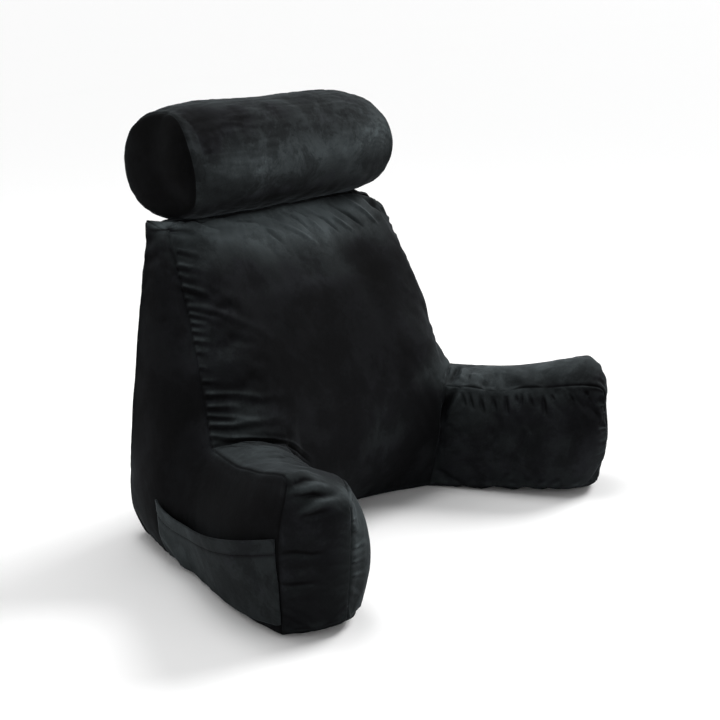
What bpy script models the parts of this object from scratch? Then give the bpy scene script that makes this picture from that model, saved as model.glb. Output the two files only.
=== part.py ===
"""Reading pillow with arms: one filled cover with a wedge-shaped back and two splayed arms,
a patch pocket on the left arm's outer side, and a loose neck roll on top.

Frame: X across (the left arm at -X for someone facing the front), the front at -Y, +Z up, metres.
"""
import math
from collections import namedtuple

import bmesh
import bpy
from mathutils import Matrix, Vector
from mathutils.bvhtree import BVHTree

# ---- driving dimensions -------------------------------------------------------------------------
OVERALL_WIDTH = 0.80        # across the arms' fronts
OVERALL_DEPTH = 0.50        # front of the arms to the back of the roll
OVERALL_HEIGHT = 0.65       # floor to the top of the roll
SEAT_GAP = 0.0011           # between the top's cloth and the roll
PRESS_REACH = 0.05          # how deep the roll may press

ROLL_RADIUS = 0.0850
ROLL_SEAM_RADIUS = 0.0775
ROLL_SHOULDER = ((0.012, 0.0810), (0.040, 0.0838), (0.090, 0.0848), (0.150, ROLL_RADIUS))
ROLL_HALF_LENGTH = 0.2230   # centre to the end seam
ROLL_END_CROWN = 0.020      # how far an end panel bulges past its seam
ROLL_END_RINGS = (0.35, 0.65, 0.88)      # of the seam radius
ROLL_END_FULLNESS = 3        # over 2 is flatter in the middle than a round cap
ROLL_STEPS = 48
ROLL_Y = OVERALL_DEPTH / 2 - ROLL_RADIUS + 0.008
ROLL_Z = OVERALL_HEIGHT - ROLL_RADIUS

POCKET_THICKNESS = 0.0018
POCKET_LIFT = 0.0011        # sewn edges above the arm's cloth
POCKET_SLACK = 0.014        # how far the mouth stands off
POCKET_FLARE = 2            # the slack gathers towards the mouth
POCKET_CURL = 0.004         # how far the mouth's back corner curls away
CURL_SHARE = 0.11           # of the pocket's length
CURL_FLARE = 4              # the curl gathers closer to the mouth
POCKET_COLUMNS = 24
POCKET_ROWS = 9
POCKET_FOOT = 0.010         # height of its lower edge
POCKET_BACK = Vector((-0.310, 0.120, 0))
POCKET_FRONT = Vector((-0.402, -0.182, 0))
MOUTH_BACK = 0.098
MOUTH_FRONT = 0.139
MOUTH_SAG = 0.0245
MOUTH_SAG_BACKWARD = 0.6     # under 1 puts the lowest point behind the middle

CAST_FROM = 0.2             # outside the arm's side, to find the cloth under the pocket

COVER_TRIANGLES = 9500
WELD = 0.0001

# ---- the cover's cage ---------------------------------------------------------------------------
# Columns run from the middle (0) by the arm's inner seam (2) to the outer seam (4). Rows run from
# the front panel (0) back to the back panel (2), and forward along an arm to its front end (-4).
CENTRE, INNER, OUTER = 0, 2, 4
FRONT, BACK, ARM_END = 0, 2, -4
FLOOR, ARM_TOP, CROWN_TOP = 0, 3, 6

# The back's levels: height, then the front panel's Y at the middle, at the quarter and at the
# arm's inner line, where it also has an X, then the side seams' X and Y, front and back, the
# back panel's Y at the middle, and how far the side panel bulges between its seams.
Level = namedtuple("Level", "z y_mid y_quarter x_inner y_inner x_front y_front x_back y_back "
                            "y_back_mid bulge")
LEVELS = [
    Level(0.000, 0.070, 0.042, -0.180, -0.006, -0.312, 0.052, -0.246, 0.222, 0.228, 0.008),
    Level(0.045, 0.008, -0.006, -0.185, -0.016, -0.324, 0.047, -0.264, 0.239, 0.244, 0.018),
    Level(0.125, -0.020, -0.026, -0.194, -0.026, -0.320, 0.042, -0.268, 0.231, 0.244, 0.018),
    Level(0.181, -0.010, -0.018, -0.1985, -0.031, -0.292, 0.029, -0.266, 0.223, 0.241, 0.016),
    Level(0.282, 0.022, 0.020, -0.196, 0.030, -0.270, 0.070, -0.261, 0.213, 0.234, 0.014),
    Level(0.388, 0.068, 0.070, -0.180, 0.082, -0.2535, 0.112, -0.252, 0.204, 0.223, 0.010),
    Level(0.479, 0.142, 0.144, -0.165, 0.148, -0.243, 0.151, -0.241, 0.195, 0.206, 0.000),
]
FRONT_CROWN = 0.026         # the front panel's fullness just inside its side seam
FRONT_CROWN_SHARE = 0.68    # where that is, from the arm's inner line to the side seam
BACK_ROUNDING = 3           # the back panel keeps flat and turns near its side seams
ROOT_SHARE = 0.5            # the middle of the arm's root, between the same two
ROOT_RISE = 0.014           # the crease over an arm's root, above its ends
ROOT_INNER_DROP = 0.006
ROOT_OUTER_RISE = 0.005
TOP_RISE = 0.010            # the top's fill, before the roll presses it

# An arm's stations, as shares of the way along it: its inner seam's and outer seam's ends are
# given above and below, and each station bulges past the line between them.
Station = namedtuple("Station", "share inner_bulge outer_bulge crown sag")
STATIONS = {
    -1: Station(0.34, 0.024, 0.016, 0.018, 0.007),
    -2: Station(0.66, 0.044, 0.026, 0.022, 0.005),
    -3: Station(0.88, 0.052, 0.021, 0.026, 0.000),
    -4: Station(1.00, 0.004, 0.010, 0.004, 0.000),
}
BULGE_SHARE = (0.7, 1.0, 1.0, 0.1)      # of an arm's bulge, level by level
ARM_INNER_FRONT = Vector((-0.331, -0.2505, 0.182))
ARM_SIDE_FULLNESS = 0.003   # how far the side bulges past its seam
ARM_OUTER_FRONT = Vector((ARM_SIDE_FULLNESS - OVERALL_WIDTH / 2, -0.197, 0.213))
ARM_INNER_FOOT = Vector((-0.330, -0.238, 0.014))
ARM_OUTER_FOOT = Vector((-0.386, -0.186, 0.002))
ARM_END_CROWN = 0.014

# Soft pushes that make the two sides as uneven as they are: place, reach and shift.
Push = namedtuple("Push", "centre reach shift")
PUSHES = [
    Push(Vector((0.243, 0.151, 0.481)), 0.09, Vector((0.006, -0.004, -0.014))),
    Push(Vector((0.285, 0.045, 0.240)), 0.08, Vector((-0.012, 0.004, 0.000))),
    Push(Vector((0.340, -0.060, 0.195)), 0.16, Vector((0.000, 0.000, -0.007))),
    Push(Vector((-0.392, -0.180, 0.212)), 0.07, Vector((0.000, -0.010, 0.012))),
    Push(Vector((-0.288, -0.195, 0.175)), 0.07, Vector((0.007, -0.004, 0.008))),
    Push(Vector((-0.241, 0.195, 0.479)), 0.03, Vector((0.000, 0.002, 0.007))),
]

ROLL_PUSHES = [
    Push(Vector((0.240, ROLL_Y, ROLL_Z + 0.060)), 0.12, Vector((-0.018, 0.000, -0.005))),
    Push(Vector((0.240, ROLL_Y, ROLL_Z - 0.030)), 0.12, Vector((-0.012, 0.000, 0.000))),
    Push(Vector((-0.225, ROLL_Y, ROLL_Z + 0.075)), 0.07, Vector((0.004, 0.000, -0.005))),
    Push(Vector((-0.020, ROLL_Y + 0.030, ROLL_Z + 0.090)), 0.16, Vector((0.000, 0.000, -0.003))),
]

# The main folds: a ridge (or, with a negative rise, a trough) from one point to another on the
# cloth. It starts at half height, at a seam or under the roll, and fades out at its end.
Fold = namedtuple("Fold", "start end width rise")
FOLDS = [
    # the left arm's turn, from the outer seam across the front end
    Fold((-0.376, -0.200, 0.222), (-0.399, -0.198, 0.208), 0.007, -0.006),
    Fold((-0.400, -0.194, 0.199), (-0.330, -0.215, 0.199), 0.008, 0.007),
    Fold((-0.398, -0.203, 0.210), (-0.313, -0.201, 0.200), 0.008, -0.006),
    Fold((-0.390, -0.213, 0.188), (-0.320, -0.233, 0.186), 0.008, -0.006),
    Fold((-0.384, -0.219, 0.175), (-0.329, -0.240, 0.182), 0.008, 0.005),
    Fold((-0.400, -0.190, 0.120), (-0.333, -0.247, 0.114), 0.009, -0.003),
    Fold((-0.398, -0.187, 0.074), (-0.330, -0.244, 0.065), 0.009, -0.003),
    # puckers from the front panel's left side seam
    Fold((-0.243, 0.145, 0.465), (-0.200, 0.129, 0.452), 0.009, 0.004),
    Fold((-0.248, 0.128, 0.427), (-0.200, 0.108, 0.420), 0.010, 0.004),
    Fold((-0.253, 0.110, 0.390), (-0.207, 0.077, 0.374), 0.009, 0.004),
    Fold((-0.256, 0.103, 0.367), (-0.121, 0.031, 0.300), 0.011, 0.005),
    Fold((-0.262, 0.088, 0.330), (-0.220, 0.052, 0.326), 0.009, 0.004),
    Fold((-0.266, 0.076, 0.301), (-0.229, 0.040, 0.296), 0.009, 0.003),
    Fold((-0.275, 0.057, 0.254), (-0.153, 0.004, 0.241), 0.010, 0.005),
    Fold((-0.283, 0.044, 0.220), (-0.165, -0.009, 0.213), 0.009, 0.004),
    # folds that fan out from under the roll
    Fold((-0.239, 0.165, 0.480), (-0.118, 0.127, 0.455), 0.009, 0.006),
    Fold((-0.073, 0.147, 0.480), (-0.007, 0.105, 0.432), 0.010, 0.004),
    Fold((-0.007, 0.145, 0.479), (0.100, 0.103, 0.425), 0.010, -0.005),
    Fold((0.037, 0.142, 0.477), (0.117, 0.106, 0.427), 0.010, 0.005),
    Fold((0.113, 0.143, 0.476), (0.193, 0.114, 0.432), 0.010, -0.005),
    Fold((0.155, 0.146, 0.477), (0.207, 0.124, 0.443), 0.009, 0.005),
    # the right arm's root and the gathers below its inner seam
    Fold((0.264, -0.005, 0.188), (0.197, -0.032, 0.171), 0.008, -0.006),
    Fold((0.206, -0.047, 0.168), (0.203, -0.050, 0.130), 0.008, -0.004),
    Fold((0.226, -0.088, 0.168), (0.219, -0.094, 0.130), 0.008, -0.003),
    Fold((0.256, -0.140, 0.170), (0.244, -0.149, 0.138), 0.008, -0.003),
]

NAP_DARK = (0.020, 0.022, 0.025)
NAP_LIGHT = (0.040, 0.050, 0.052)
PILE_ROUGHNESS = 0.8

PANELS = ("front", "back", "side", "top", "base", "strip", "inner")
SEAM_CREASE = 0.9
FOLD_REACH = 3              # widths, past which a fold is flat
FOLD_ONSET = 0.15           # a fold's share of its rise that its start already has, as an angle


def level_point(column, row, level):
    """Return a cage point of the back: column and row as above, level an index in LEVELS."""
    here = LEVELS[level]
    side_front = Vector((here.x_front, here.y_front, here.z))
    side_back = Vector((here.x_back, here.y_back, here.z))
    inner = Vector((here.x_inner, here.y_inner, here.z))
    if level == ARM_TOP:
        inner.z -= ROOT_INNER_DROP
        side_front.z += ROOT_OUTER_RISE
    over_arm = inner.lerp(side_front, FRONT_CROWN_SHARE if level > ARM_TOP else ROOT_SHARE)
    if ARM_TOP < level < CROWN_TOP:
        over_arm.y -= FRONT_CROWN
    if level == ARM_TOP:
        over_arm.z += ROOT_RISE
    if row == FRONT:
        middle = Vector((0.0, here.y_mid, here.z))
        quarter = Vector((here.x_inner / 2, here.y_quarter, here.z))
        return (middle, quarter, inner, over_arm, side_front)[column]
    if row == BACK:
        share = column / OUTER
        y = here.y_back_mid + (here.y_back - here.y_back_mid) * share ** BACK_ROUNDING
        return Vector((here.x_back * share, y, here.z))
    middle = (level_point(column, FRONT, level) + level_point(column, BACK, level)) / 2
    if column == OUTER:
        middle.x -= here.bulge
    elif level == CROWN_TOP:
        middle.z += TOP_RISE
    return middle


def arm_point(column, row, level):
    """Return a cage point of the left arm, between its seams and pushed out by its filling."""
    station = STATIONS[row]
    height = LEVELS[level].z / LEVELS[ARM_TOP].z
    ends = {
        INNER: (level_point(INNER, FRONT, level), ARM_INNER_FOOT.lerp(ARM_INNER_FRONT, height)),
        OUTER: (level_point(OUTER, FRONT, level), ARM_OUTER_FOOT.lerp(ARM_OUTER_FRONT, height)),
    }
    inner, outer = (root.lerp(tip, station.share) for root, tip in ends.values())
    across = outer - inner
    across.z = 0
    across.normalize()
    along = Vector((across.y, -across.x, 0))
    inner -= across * station.inner_bulge * BULGE_SHARE[level]
    outer += across * station.outer_bulge * BULGE_SHARE[level]
    outer.z -= station.sag * height
    if column == INNER:
        return inner
    if column == OUTER:
        return outer
    point = (inner + outer) / 2
    if level == ARM_TOP:
        point.z += station.crown
    if row == ARM_END:
        point -= along * ARM_END_CROWN
    return point


def cage_point(column, row, level):
    """Return the cage point of one lattice corner in the left half."""
    return level_point(column, row, level) if row >= FRONT else arm_point(column, row, level)


def cells():
    """Yield the lattice cells that the left half fills."""
    for column in range(CENTRE, OUTER):
        for row in range(FRONT, BACK):
            for level in range(FLOOR, CROWN_TOP):
                yield column, row, level
    for column in range(INNER, OUTER):
        for row in range(ARM_END, FRONT):
            for level in range(FLOOR, ARM_TOP):
                yield column, row, level


def panel_of(cell, axis, side):
    """Name the panel that an outer cell face belongs to."""
    arm = cell[1] < FRONT
    if axis == 2:
        return "base" if side < 0 else ("strip" if arm else "top")
    if axis == 1:
        return "strip" if arm else ("front" if side < 0 else "back")
    return "side" if side > 0 else "inner"


def cover_cage():
    """Return a mesh of the left half's cage, open at the middle, with its panels and seams."""
    filled = set(cells())
    mesh = bpy.data.meshes.new("cover")
    bm = bmesh.new()
    panel = bm.faces.layers.int.new("panel")
    crease = bm.edges.layers.float.new("crease_edge")
    corners = {}
    for cell in sorted(filled):
        for axis in range(3):
            for side in (-1, 1):
                next_cell = tuple(cell[a] + (side if a == axis else 0) for a in range(3))
                if next_cell in filled or next_cell[0] < CENTRE:
                    continue
                start = list(cell)
                start[axis] += (side > 0)
                first, second = [a for a in range(3) if a != axis]
                ring = []
                for step_first, step_second in ((0, 0), (1, 0), (1, 1), (0, 1)):
                    corner = list(start)
                    corner[first] += step_first
                    corner[second] += step_second
                    key = tuple(corner)
                    if key not in corners:
                        corners[key] = bm.verts.new(cage_point(*key))
                    ring.append(corners[key])
                face = bm.faces.new(ring)
                face[panel] = PANELS.index(panel_of(cell, axis, side))
    bmesh.ops.recalc_face_normals(bm, faces=bm.faces)
    for edge in bm.edges:
        kinds = {face[panel] for face in edge.link_faces}
        if len(kinds) > 1:
            edge[crease] = SEAM_CREASE
    bm.to_mesh(mesh)
    bm.free()
    return mesh


def evaluated_copy(guide, name):
    """Turn an object with modifiers into a plain mesh object of the result, and remove it."""
    graph = bpy.context.evaluated_depsgraph_get()
    mesh = bpy.data.meshes.new_from_object(guide.evaluated_get(graph))
    mesh.name = name
    bpy.data.objects.remove(guide)
    return mesh


def link(mesh, name, collection, material):
    """Put a mesh in the scene as one named object."""
    thing = bpy.data.objects.new(name, mesh)
    collection.objects.link(thing)
    mesh.materials.clear()
    mesh.materials.append(material)
    return thing


def velvet(name, colour):
    """Return a plain material for one piece."""
    material = bpy.data.materials.new(name)
    material.use_nodes = True
    shader = material.node_tree.nodes["Principled BSDF"]
    shader.inputs["Base Color"].default_value = (*colour, 1.0)
    shader.inputs["Roughness"].default_value = PILE_ROUGHNESS
    shader.inputs["Metallic"].default_value = 0.0
    return material


def smooth_cover(collection):
    """Return the whole cover's smooth mesh: the half cage, mirrored and subdivided."""
    guide = bpy.data.objects.new("cover_guide", cover_cage())
    collection.objects.link(guide)
    mirror = guide.modifiers.new("halves", "MIRROR")
    mirror.merge_threshold = WELD
    smooth = guide.modifiers.new("filling", "SUBSURF")
    smooth.levels = smooth.render_levels = 3
    return evaluated_copy(guide, "body")


def swell(mesh, pushes):
    """Move a piece's cloth at the named places, each by a soft round push."""
    for push in pushes:
        for vertex in mesh.vertices:
            away = (vertex.co - push.centre).length / push.reach
            if away < 1:
                vertex.co += push.shift * (1 - away * away) ** 2


def crumple(mesh):
    """Raise the named folds out of the cover, along its own normals."""
    normals = [vertex.normal.copy() for vertex in mesh.vertices]
    for fold in FOLDS:
        start = Vector(fold.start)
        run = Vector(fold.end) - start
        for vertex, normal in zip(mesh.vertices, normals):
            share = min(max((vertex.co - start).dot(run) / run.length_squared, 0.0), 1.0)
            away = (vertex.co - start - run * share).length / fold.width
            if away < FOLD_REACH:
                fade = math.sin(math.pi * (FOLD_ONSET + (1 - FOLD_ONSET) * share))
                vertex.co += normal * (fold.rise * fade * math.exp(-away * away))


def thin_out(mesh, collection):
    """Return the mesh with flat stretches in fewer triangles, its folds kept."""
    guide = bpy.data.objects.new("cover_guide", mesh)
    collection.objects.link(guide)
    mesh.calc_loop_triangles()
    thin = guide.modifiers.new("thin", "DECIMATE")
    thin.ratio = COVER_TRIANGLES / len(mesh.loop_triangles)
    return evaluated_copy(guide, "body")


def seat(mesh, resting):
    """Press the cover's top down where the resting piece lies on it."""
    tree = BVHTree.FromPolygons([v.co for v in resting.vertices],
                                [p.vertices for p in resting.polygons])
    for vertex in mesh.vertices:
        point, normal, _, distance = tree.find_nearest(vertex.co, PRESS_REACH)
        if point and (distance < SEAT_GAP or (vertex.co - point).dot(normal) < 0):
            vertex.co = point + normal * SEAT_GAP


def make_body(collection, roll):
    """Build the filled cover, pressed by the roll on its top."""
    mesh = smooth_cover(collection)
    swell(mesh, PUSHES)
    crumple(mesh)
    mesh = thin_out(mesh, collection)
    seat(mesh, roll)
    for vertex in mesh.vertices:
        vertex.co.z = max(vertex.co.z, 0.0)
    return link(mesh, "body", collection, velvet("body velvet", NAP_DARK))


def side_point(tree, share, height):
    """Return the place and outward direction on the left arm's side, at the pocket's share."""
    along = POCKET_BACK.lerp(POCKET_FRONT, share)
    outside = Vector((along.x - CAST_FROM, along.y, height))
    point, normal, _, _ = tree.ray_cast(outside, Vector((1, 0, 0)))
    return point, Vector((normal.x, normal.y, 0)).normalized()


def mouth_height(share):
    """Return the height of the pocket's mouth, which sags between its two ends."""
    line = MOUTH_BACK + (MOUTH_FRONT - MOUTH_BACK) * share
    return line - MOUTH_SAG * math.sin(math.pi * share ** MOUTH_SAG_BACKWARD)


def make_pocket(collection, body):
    """Build the patch pocket: a sheet on the arm's side, sewn on three edges, slack at its mouth."""
    tree = BVHTree.FromPolygons([v.co for v in body.vertices], [p.vertices for p in body.polygons])
    bm = bmesh.new()
    grid = []
    for i in range(POCKET_COLUMNS + 1):
        share = i / POCKET_COLUMNS
        column = []
        for j in range(POCKET_ROWS + 1):
            up = j / POCKET_ROWS
            height = POCKET_FOOT + (mouth_height(share) - POCKET_FOOT) * up
            point, out = side_point(tree, share, height)
            slack = POCKET_SLACK * math.sin(math.pi * share) * up ** POCKET_FLARE
            curl = POCKET_CURL * max(0.0, 1 - share / CURL_SHARE) * up ** CURL_FLARE
            column.append(bm.verts.new(point + out * (POCKET_LIFT + slack + curl)))
        grid.append(column)
    for left, right in zip(grid, grid[1:]):
        for j in range(POCKET_ROWS):
            bm.faces.new((left[j], right[j], right[j + 1], left[j + 1]))
    bm.normal_update()
    mesh = bpy.data.meshes.new("pocket")
    bm.to_mesh(mesh)
    bm.free()
    thing = link(mesh, "pocket", collection, velvet("pocket velvet", NAP_LIGHT))
    shell = thing.modifiers.new("cloth", "SOLIDIFY")
    shell.thickness = POCKET_THICKNESS
    shell.offset = 1.0
    shell.use_even_offset = True
    return thing


def make_roll(collection):
    """Build the neck roll: a tube with crowned ends, drawn in a little at the end seams."""
    profile = [(-ROLL_HALF_LENGTH - ROLL_END_CROWN, 0.0)]
    for share in ROLL_END_RINGS:
        reach = ROLL_END_CROWN * math.sqrt(1 - share ** ROLL_END_FULLNESS)
        profile.append((-ROLL_HALF_LENGTH - reach, share * ROLL_SEAM_RADIUS))
    profile.append((-ROLL_HALF_LENGTH, ROLL_SEAM_RADIUS))
    for inset, radius in ROLL_SHOULDER:
        profile.append((-ROLL_HALF_LENGTH + inset, radius))
    profile += [(-x, radius) for x, radius in reversed(profile)]
    mesh = bpy.data.meshes.new("roll")
    points = [(x, 0.0, radius) for x, radius in reversed(profile)]
    mesh.from_pydata(points, [(i, i + 1) for i in range(len(points) - 1)], [])
    guide = bpy.data.objects.new("roll_guide", mesh)
    collection.objects.link(guide)
    screw = guide.modifiers.new("turned", "SCREW")
    screw.axis = "X"
    screw.steps = screw.render_steps = ROLL_STEPS
    screw.use_merge_vertices = True
    screw.merge_threshold = WELD
    mesh = evaluated_copy(guide, "neck_roll")
    for vertex in mesh.vertices:
        vertex.co += Vector((0, ROLL_Y, ROLL_Z))
    swell(mesh, ROLL_PUSHES)
    return link(mesh, "neck_roll", collection, velvet("roll velvet", NAP_DARK))


def centre(collection):
    """Move the pieces together so that their common box stands over the origin."""
    graph = bpy.context.evaluated_depsgraph_get()
    corners = [thing.matrix_world @ Vector(corner) for thing in collection.objects
               for corner in thing.evaluated_get(graph).bound_box]
    shift = Vector((0, 0, 0))
    for axis in (0, 1):
        values = [corner[axis] for corner in corners]
        shift[axis] = -(min(values) + max(values)) / 2
    for thing in collection.objects:
        thing.data.transform(Matrix.Translation(shift))


def main():
    for thing in list(bpy.data.objects):
        bpy.data.objects.remove(thing)
    collection = bpy.data.collections.new("reading pillow with arms")
    bpy.context.scene.collection.children.link(collection)
    roll = make_roll(collection)
    body = make_body(collection, roll.data)
    make_pocket(collection, body.data)
    centre(collection)


main()
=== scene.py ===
import math
from collections import namedtuple
from itertools import product

import bmesh
import bpy
import numpy as np
from mathutils import Matrix, Vector
from mathutils.bvhtree import BVHTree
from mathutils.kdtree import KDTree


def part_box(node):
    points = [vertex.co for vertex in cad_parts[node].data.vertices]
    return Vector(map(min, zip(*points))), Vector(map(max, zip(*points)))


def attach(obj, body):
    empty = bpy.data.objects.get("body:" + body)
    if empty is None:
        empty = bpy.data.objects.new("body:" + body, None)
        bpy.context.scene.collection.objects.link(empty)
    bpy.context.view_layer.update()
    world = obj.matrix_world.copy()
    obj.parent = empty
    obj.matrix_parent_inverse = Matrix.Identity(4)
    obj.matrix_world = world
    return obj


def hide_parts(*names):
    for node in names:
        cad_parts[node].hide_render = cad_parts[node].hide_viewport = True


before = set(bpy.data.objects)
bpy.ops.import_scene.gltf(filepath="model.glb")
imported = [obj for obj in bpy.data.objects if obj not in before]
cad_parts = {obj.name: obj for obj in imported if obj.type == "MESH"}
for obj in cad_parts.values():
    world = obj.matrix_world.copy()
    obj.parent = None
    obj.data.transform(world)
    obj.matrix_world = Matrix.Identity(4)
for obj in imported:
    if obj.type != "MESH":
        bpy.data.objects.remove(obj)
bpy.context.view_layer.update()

# ---- the filled cover's lattice, as its cut and its filling give it ----
# Columns run from the middle (0) by the arm's inner seam (2) to the outer seam (4). Rows run from
# the front panel (0) back to the back panel (2), and forward along an arm to its front end (-4).
CENTRE, INNER, OUTER = 0, 2, 4
FRONT, BACK, ARM_END = 0, 2, -4
FLOOR, ARM_TOP, CROWN_TOP = 0, 3, 6

Level = namedtuple("Level", "z y_mid y_quarter x_inner y_inner x_front y_front x_back y_back "
                            "y_back_mid bulge")
LEVELS = [
    Level(0.000, 0.070, 0.042, -0.180, -0.006, -0.312, 0.052, -0.246, 0.222, 0.228, 0.008),
    Level(0.045, 0.008, -0.006, -0.185, -0.016, -0.324, 0.047, -0.264, 0.239, 0.244, 0.018),
    Level(0.125, -0.020, -0.026, -0.194, -0.026, -0.320, 0.042, -0.268, 0.231, 0.244, 0.018),
    Level(0.181, -0.010, -0.018, -0.1985, -0.031, -0.292, 0.029, -0.266, 0.223, 0.241, 0.016),
    Level(0.282, 0.022, 0.020, -0.196, 0.030, -0.270, 0.070, -0.261, 0.213, 0.234, 0.014),
    Level(0.388, 0.068, 0.070, -0.180, 0.082, -0.2535, 0.112, -0.252, 0.204, 0.223, 0.010),
    Level(0.479, 0.142, 0.144, -0.165, 0.148, -0.243, 0.151, -0.241, 0.195, 0.206, 0.000),
]
FRONT_CROWN = 0.026         # how far the front panel stands out above the arms
FRONT_CROWN_SHARE = 0.68    # where it does, from the inner column to the side seam
BACK_ROUNDING = 3
ROOT_SHARE = 0.5            # where an arm's top is highest at its root, and how its seams lie there
ROOT_RISE = 0.014
ROOT_INNER_DROP = 0.006
ROOT_OUTER_RISE = 0.005
TOP_RISE = 0.010

Station = namedtuple("Station", "share inner_bulge outer_bulge crown sag")
STATIONS = {
    -1: Station(0.34, 0.024, 0.016, 0.018, 0.007),
    -2: Station(0.66, 0.044, 0.026, 0.022, 0.005),
    -3: Station(0.88, 0.052, 0.021, 0.026, 0.000),
    -4: Station(1.00, 0.004, 0.010, 0.004, 0.000),
}
BULGE_SHARE = (0.7, 1.0, 1.0, 0.1)
ARM_INNER_FRONT = Vector((-0.331, -0.2505, 0.182))
ARM_OUTER_FRONT = Vector((-0.397, -0.197, 0.213))
ARM_INNER_FOOT = Vector((-0.330, -0.238, 0.014))
ARM_OUTER_FOOT = Vector((-0.386, -0.186, 0.002))
ARM_END_CROWN = 0.014
PANELS = ("front", "back", "side", "top", "base", "strip", "inner")
SEAM_CREASE = 0.9

# ---- what shapes the cloth: pushes, areas where it differs, and folds ----
Area = namedtuple("Area", "centre reach change")
Push = namedtuple("Push", "centre reach shift")
Fold = namedtuple("Fold", "path width rise")


def metres(millimetres):
    return np.array(millimetres) / 1000


def areas(*rows):
    """Return areas from rows of centre and reach in millimetres and change in hundredths."""
    return [Area(metres(centre), metres(reach), change / 100) for centre, reach, change in rows]


def pushes(*rows):
    """Return pushes from rows of centre, reach and shift in millimetres."""
    return [Push(metres(centre), reach / 1000, metres(shift)) for centre, reach, shift in rows]


def folds(*rows):
    """Return folds from rows of width and rise, in tenths of a millimetre, and the path's points,
    in millimetres."""
    return [Fold(metres(points), width / 10000, rise / 10000) for width, rise, *points in rows]


def twins(originals, share, lift):
    """Return folds mirrored to the other half, with a share of their rise, and lifted a little."""
    return [Fold(fold.path * (-1, 1, 1) + (0, 0, lift), fold.width, fold.rise * share)
            for fold in originals]


PUSHES = pushes(
    ((243, 151, 481), 90, (6, -4, -14)),
    ((285, 45, 240), 80, (-12, 4, 0)),
    ((340, -60, 195), 160, (0, 0, -7)),
    ((-392, -180, 212), 70, (0, -10, 12)),
    ((-288, -195, 175), 70, (7, -4, 8)),
    ((-241, 195, 479), 30, (-2, 2, 7)),
    ((-100, 145, 479), 80, (0, 2, 5)),
    ((0, 142, 479), 80, (0, 2, 6)),
    ((100, 145, 479), 80, (0, 2, 6)),
    ((190, 149, 479), 80, (0, 2, 6)),
    ((245, 150, 475), 30, (-7, 2, -6)),
    ((236, -103, 170), 50, (0, 0, -6)),
    ((305, -205, 180), 50, (0, 0, 3)),
    ((-361, -113, 198), 70, (0, 0, 5)),
    ((331, -250, 85), 75, (4, -8, 0)),
)
ROLL_PUSHES = pushes(
    ((240, 173, 625), 120, (-25, 0, -8)),
    ((240, 173, 535), 120, (-12, 0, 0)),
    ((-225, 173, 640), 70, (4, 0, -5)),
    ((-20, 203, 655), 160, (0, 0, -3)),
    ((-223, 90, 595), 100, (-17, 3, 0)),
    ((-223, 150, 487), 70, (12, 0, 0)),
    ((243, 173, 585), 90, (-6, 0, 0)),
)
# Where the blown cloth keeps fewer of its wrinkles: the full stretches of its panels.
CALM = areas(
    ((0, -10, 130), (280, 160, 260), 160),
    ((30, 70, 340), (260, 140, 200), 120),
    ((260, 90, 360), (80, 120, 180), 120),
    ((-370, -60, 130), (120, 260, 200), 260),
    ((-270, 130, 240), (60, 200, 340), 160),
    ((270, 130, 240), (60, 200, 340), 130),
    ((360, -40, 120), (120, 260, 200), 160),
)
# Seams that lie flatter than the others, and the corner where the folds fade out.
QUIET_SEAMS = areas(
    ((-395, -195, 150), (50, 50, 90), 80),
    ((280, -150, 175), (120, 160, 40), 60),
)
CORNERS = areas(((-397, -197, 195), (26, 26, 60), 85))

# ---- folds: ridges, or with a negative rise troughs, that follow a path on the cloth ----
FOLD_ONSET = 0.04           # how far into its swelling a fold starts
FOLD_DEPTH = 0.020          # how far off its path the curved cloth may lie
FOLD_REACH = 0.030          # how far around its path a fold is looked for
# The left arm's turn: ridges with troughs between them.
TURN_FOLDS = folds(
    (48, 30, (-396, -197, 214), (-378, -199, 222), (-352, -196, 217), (-324, -195, 206)),
    (45, -40, (-394, -192, 206), (-384, -208, 213), (-371, -210, 216), (-352, -214, 209)),
    (56, 48, (-397, -192, 197), (-392, -207, 205), (-379, -215, 207), (-360, -218, 206),
     (-344, -222, 200), (-332, -228, 194)),
    (45, -42, (-399, -196, 191), (-387, -211, 197), (-371, -220, 198), (-357, -226, 192),
     (-332, -233, 190)),
    (54, 42, (-389, -207, 169), (-384, -216, 177), (-376, -223, 182), (-366, -228, 187),
     (-353, -232, 187), (-331, -240, 183)),
    (48, -24, (-386, -212, 170), (-370, -228, 173), (-346, -239, 177)),
)
# Creases across the left arm's front end.
END_CREASES = folds(
    (36, -26, (-397, -186, 118), (-387, -204, 120), (-375, -221, 117), (-359, -233, 120)),
    (70, 15, (-396, -188, 108), (-384, -209, 109), (-364, -230, 109)),
    (34, -20, (-396, -183, 77), (-390, -194, 74), (-383, -207, 76), (-366, -223, 78)),
    (70, 15, (-394, -184, 61), (-382, -206, 63), (-368, -221, 64)),
)
# The seam where the left arm's top meets the back.
ROOT_CREASES = folds(
    (14, -24, (-288, 29, 190), (-269, 16, 193), (-252, -8, 193), (-213, -16, 183),
     (-190, -23, 173), (-163, -25, 152), (-138, -24, 129)),
    (14, -12, (-291, 26, 187), (-278, 6, 191), (-266, -21, 193), (-255, -50, 192)),
    (21, 13, (-286, 31, 196), (-269, 16, 199), (-244, -1, 197), (-211, -15, 189),
     (-186, -22, 179), (-157, -25, 157), (-133, -24, 134)),
)
# The rolled fold beside the roll, and the shadow under it.
TOP_FOLDS = folds(
    (37, 78, (-242, 186, 481), (-233, 159, 481), (-210, 149, 477), (-179, 144, 469),
     (-148, 134, 463)),
    (33, -59, (-242, 181, 470), (-243, 149, 475), (-219, 145, 472), (-197, 138, 465)),
    (44, 52, (-183, 148, 475), (-163, 150, 476), (-125, 147, 475)),
)
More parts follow.
